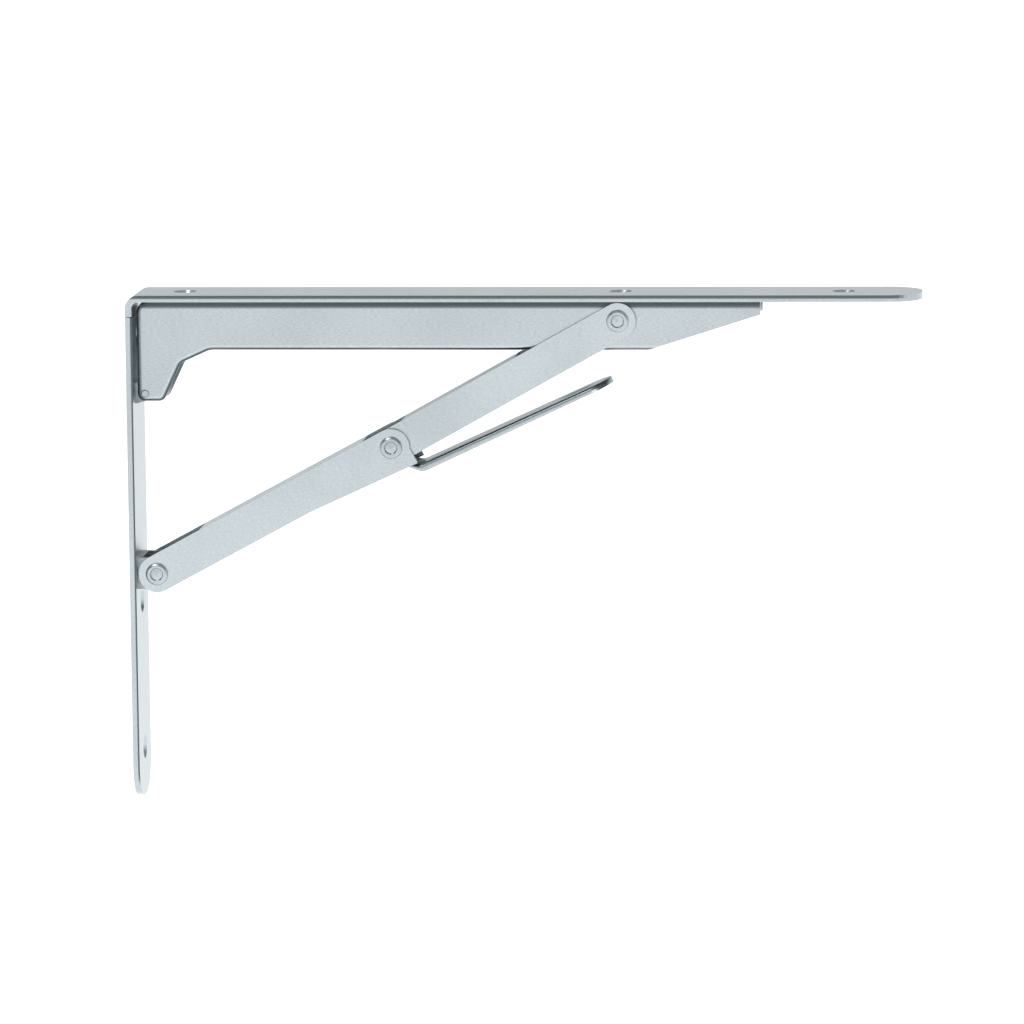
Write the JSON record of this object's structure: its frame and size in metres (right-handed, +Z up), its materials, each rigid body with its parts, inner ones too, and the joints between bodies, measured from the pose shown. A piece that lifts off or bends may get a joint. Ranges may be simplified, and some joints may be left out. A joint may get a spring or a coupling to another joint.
{
  "type": "folding shelf bracket",
  "caption": "Folding shelf bracket: hinged wall and shelf arms held square by a jointed channel brace with a release lever.",
  "frame": {"origin": "on the wall strip's back face, mid-width, level with the brace's lower pivot", "axes": "+X away from the wall along the shelf arm, +Y along the wall, +Z up"},
  "size_m": [0.3, 0.03, 0.193],
  "materials": {
    "zinc_strip": "bright zinc plate over rolled strip",
    "zinc_sheet": "bright zinc plate over folded sheet",
    "zinc_rivet": "bright zinc plate, smooth"
  },
  "bodies": {
    "wall": {"wall_arm": "zinc_strip", "brace_lug": "zinc_sheet", "hinge_lug": "zinc_sheet", "hinge_pin": "zinc_rivet", "wall_pivot_rivet": "zinc_rivet"},
    "shelf": {"shelf_arm": "zinc_strip", "carrier": "zinc_sheet", "shelf_pivot_pin": "zinc_rivet"},
    "lower_brace": {"lower_link": "zinc_sheet", "lever": "zinc_sheet", "middle_pivot_rivet": "zinc_rivet"},
    "upper_brace": {"upper_link": "zinc_sheet", "shelf_pivot_heads": "zinc_rivet"}
  },
  "joints": [
    {"name": "shelf_fold", "type": "hinge", "parent": "wall", "child": "shelf", "pos_m": [0.0062, 0, 0.0685], "axis": [0, 1, 0], "range_deg": [0, 62]},
    {"name": "lower_link_pivot", "type": "hinge", "parent": "wall", "child": "lower_brace", "pos_m": [0.01, 0, 0], "axis": [0, 1, 0], "range_deg": [0, 112.78]},
    {"name": "middle_pivot", "type": "hinge", "parent": "lower_brace", "child": "upper_brace", "pos_m": [0.1, 0, 0.0485], "axis": [0, 1, 0], "range_deg": [-98.17, 0]}
  ],
  "couplings": [
    {"joint": "lower_link_pivot", "follows": "shelf_fold", "ratio": 1.819},
    {"joint": "middle_pivot", "follows": "shelf_fold", "ratio": -1.5832}
  ]
}
